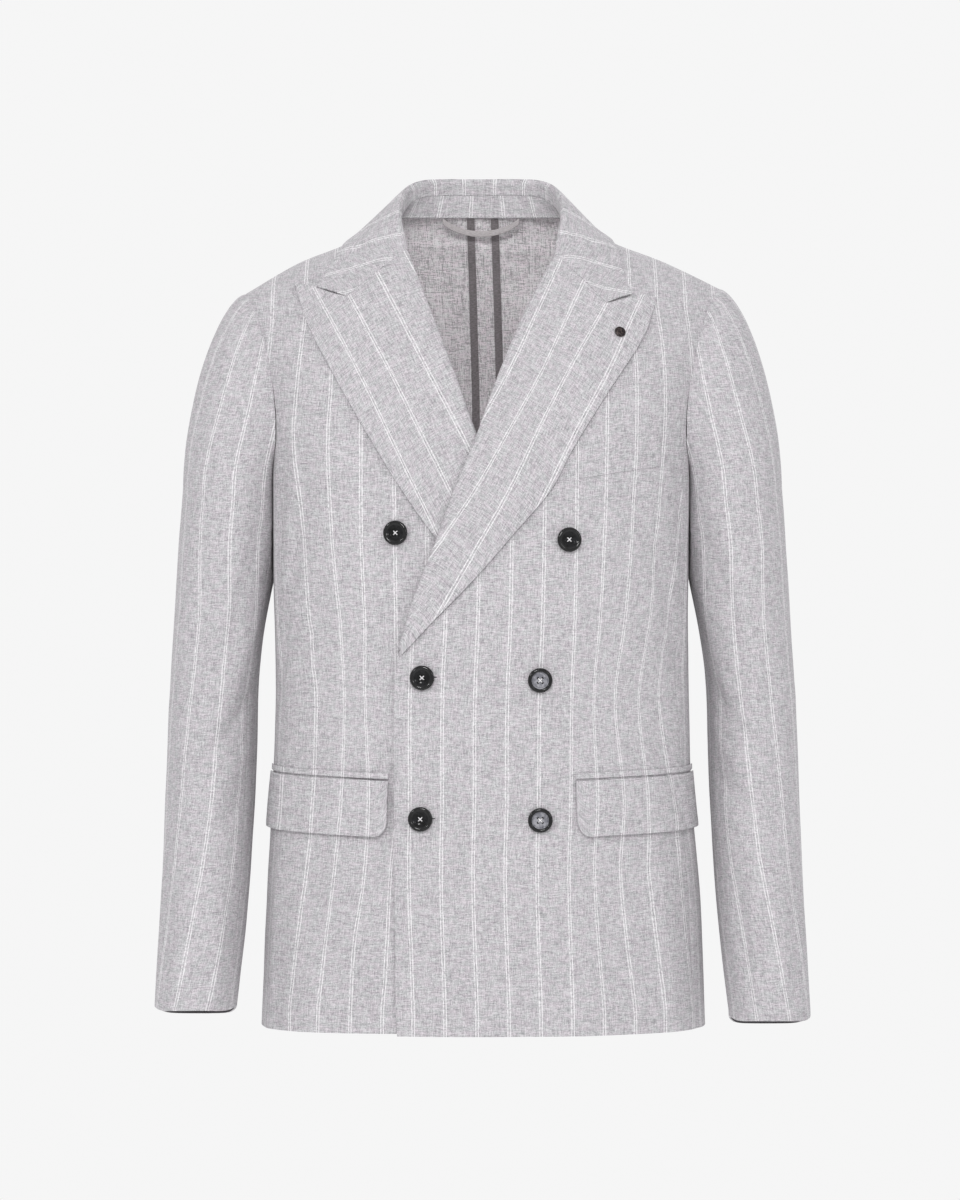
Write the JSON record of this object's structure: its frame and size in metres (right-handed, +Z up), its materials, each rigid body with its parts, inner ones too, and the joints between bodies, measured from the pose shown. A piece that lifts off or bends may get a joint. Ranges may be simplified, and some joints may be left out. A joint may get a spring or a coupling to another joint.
{
  "type": "double breasted blazer",
  "caption": "Hollow double breasted jacket in its worn shape, with peak lapels, flap pockets, a breast pocket and long sleeves, held up by the wearer's shoulders.",
  "frame": {"origin": "the nape: where the centre back seam meets the seam under the collar", "axes": "+Z up, the front of the jacket faces -Y, the wearer's left is +X"},
  "size_m": [0.5835, 0.2551, 0.7681],
  "materials": {
    "suiting": "light grey linen and wool plain weave with slubs and a fine double chalk stripe, matt",
    "horn": "near black horn with a polished raised rim",
    "binding": "taupe grosgrain tape",
    "dark_metal": "dark enamelled metal"
  },
  "bodies": {
    "root": {"left_front": "suiting", "right_front": "suiting", "left_lapel": "suiting", "right_lapel": "suiting", "left_back": "suiting", "right_back": "suiting", "left_side_panel": "suiting", "right_side_panel": "suiting", "left_top_sleeve": "suiting", "right_top_sleeve": "suiting", "left_under_sleeve": "suiting", "right_under_sleeve": "suiting", "left_pocket_flap": "suiting", "right_pocket_flap": "suiting", "left_pocket_welt": "suiting", "right_pocket_welt": "suiting", "collar_fall": "suiting", "collar_stand": "suiting", "breast_pocket": "suiting", "button_top_right": "horn", "button_top_left": "horn", "button_middle_right": "horn", "button_middle_left": "horn", "button_bottom_right": "horn", "button_bottom_left": "horn", "left_seam_tape": "binding", "right_seam_tape": "binding", "hanger_loop": "binding", "lapel_stud": "dark_metal"}
  },
  "joints": []
}
